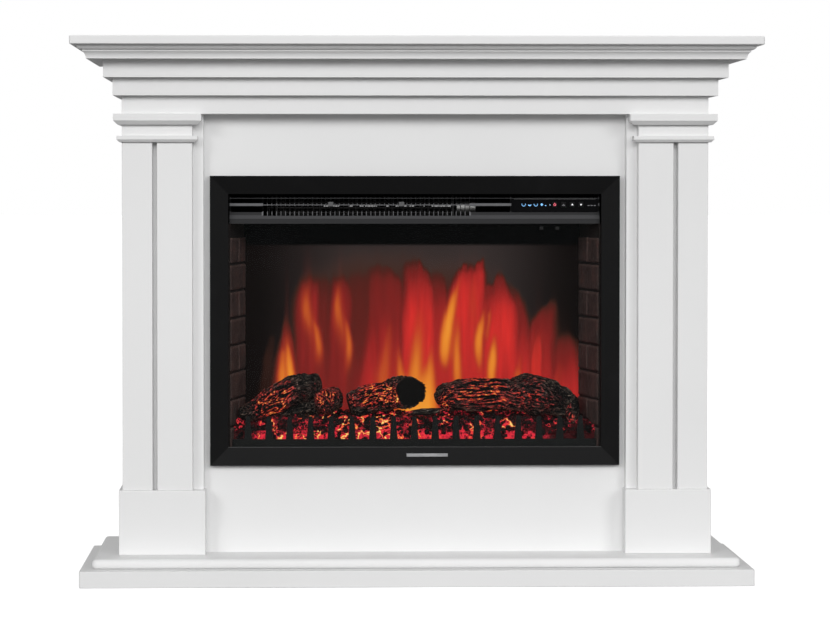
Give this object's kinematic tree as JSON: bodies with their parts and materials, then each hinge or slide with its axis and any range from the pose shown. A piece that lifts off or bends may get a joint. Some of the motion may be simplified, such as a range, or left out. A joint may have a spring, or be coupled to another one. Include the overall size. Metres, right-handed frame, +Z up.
{
  "type": "electric fireplace",
  "caption": "Freestanding mantel surround with pilasters, cornice and hearth around a log-effect electric firebox with fan heater, glass front and push buttons.",
  "frame": {"origin": "centre of the footprint on the floor (bounding box bottom centre)", "axes": "+Z up, the front faces -Y, +X to the right seen from the front, the back stands against a wall at +Y"},
  "size_m": [1.12, 0.312, 0.89],
  "materials": {
    "painted_board": "white painted MDF, semi-matt",
    "trim_black": "black satin powder coat",
    "zinc_steel": "zinc plated",
    "black_sheet_steel": "matt black coated sheet",
    "grille_black": "satin dark grey-black enamel",
    "clear_glass": "clear toughened glass",
    "dark_brick": "moulded refractory brick effect, matt",
    "flame_diffuser": "smoked back-lit diffuser with moving flame image",
    "mirror_film": "silvered film on a steel spindle",
    "motor_steel": "plain pressed steel",
    "circuit_board": "solder-masked circuit board",
    "glowing_embers": "vacuum formed translucent resin, lit from below",
    "charred_log": "moulded charred bark with glowing ridges",
    "blower_metal": "pressed aluminium",
    "heater_metal": "finned element",
    "panel_gloss_black": null,
    "button_black": "gloss black",
    "gland_plastic": "black nylon"
  },
  "bodies": {
    "fireplace": {"base_board": "painted_board", "base_screws": "zinc_steel", "bed_moulding_lower": "painted_board", "bed_moulding_upper": "painted_board", "blower_motor": "motor_steel", "brick_panel_left": "dark_brick", "brick_panel_right": "dark_brick", "cable_gland": "gland_plastic", "capital_mouldings_left": "painted_board", "capital_mouldings_right": "painted_board", "carcass_top": "painted_board", "control_board": "circuit_board", "control_panel": "panel_gloss_black", "corner_brackets": "zinc_steel", "crown_moulding": "painted_board", "ember_bed": "glowing_embers", "ember_led_board": "circuit_board", "fender": "grille_black", "firebox_wrapper": "black_sheet_steel", "flame_led_board": "circuit_board", "flame_mask": "black_sheet_steel", "flame_screen": "flame_diffuser", "frieze_board": "painted_board", "front_glass": "clear_glass", "front_panel": "painted_board", "hearth_slab": "painted_board", "heater_housing": "black_sheet_steel", "heating_element": "heater_metal", "insert_shelf": "painted_board", "log_centre": "charred_log", "log_left": "charred_log", "log_right": "charred_log", "log_stub": "charred_log", "mantel_shelf": "painted_board", "necking_block_left": "painted_board", "necking_block_right": "painted_board", "outlet_grille": "grille_black", "pilaster_backer_left": "painted_board", "pilaster_backer_right": "painted_board", "pilaster_boards_left": "painted_board", "pilaster_boards_right": "painted_board", "plinth_block_left": "painted_board", "plinth_block_right": "painted_board", "rear_cover": "black_sheet_steel", "rear_cover_screws": "zinc_steel", "rear_rails": "painted_board", "rotor_brackets": "black_sheet_steel", "rotor_motor": "motor_steel", "side_panel_left": "painted_board", "side_panel_right": "painted_board", "trim_rail_bottom": "trim_black", "trim_rail_left": "trim_black", "trim_rail_right": "trim_black", "trim_rail_top": "trim_black"},
    "blower_wheel": {"blower_wheel": "blower_metal"},
    "flame_rotor": {"flame_rotor": "mirror_film"},
    "power_button": {"power_button": "button_black"},
    "flame_button": {"flame_button": "button_black"},
    "heat_button": {"heat_button": "button_black"},
    "timer_button": {"timer_button": "button_black"}
  },
  "joints": [
    {"name": "blower_spin", "type": "hinge", "parent": "fireplace", "child": "blower_wheel", "pos_m": [0, 0.022, 0.612], "axis": [1, 0, 0], "continuous": true},
    {"name": "flame_rotor_spin", "type": "hinge", "parent": "fireplace", "child": "flame_rotor", "pos_m": [0, 0.11, 0.25], "axis": [1, 0, 0], "continuous": true},
    {"name": "power_press", "type": "slide", "parent": "fireplace", "child": "power_button", "axis": [0, 1, 0], "range_m": [0, 0.0008], "stiffness_N_per_m": 400},
    {"name": "flame_press", "type": "slide", "parent": "fireplace", "child": "flame_button", "axis": [0, 1, 0], "range_m": [0, 0.0008], "stiffness_N_per_m": 400},
    {"name": "heat_press", "type": "slide", "parent": "fireplace", "child": "heat_button", "axis": [0, 1, 0], "range_m": [0, 0.0008], "stiffness_N_per_m": 400},
    {"name": "timer_press", "type": "slide", "parent": "fireplace", "child": "timer_button", "axis": [0, 1, 0], "range_m": [0, 0.0008], "stiffness_N_per_m": 400}
  ]
}
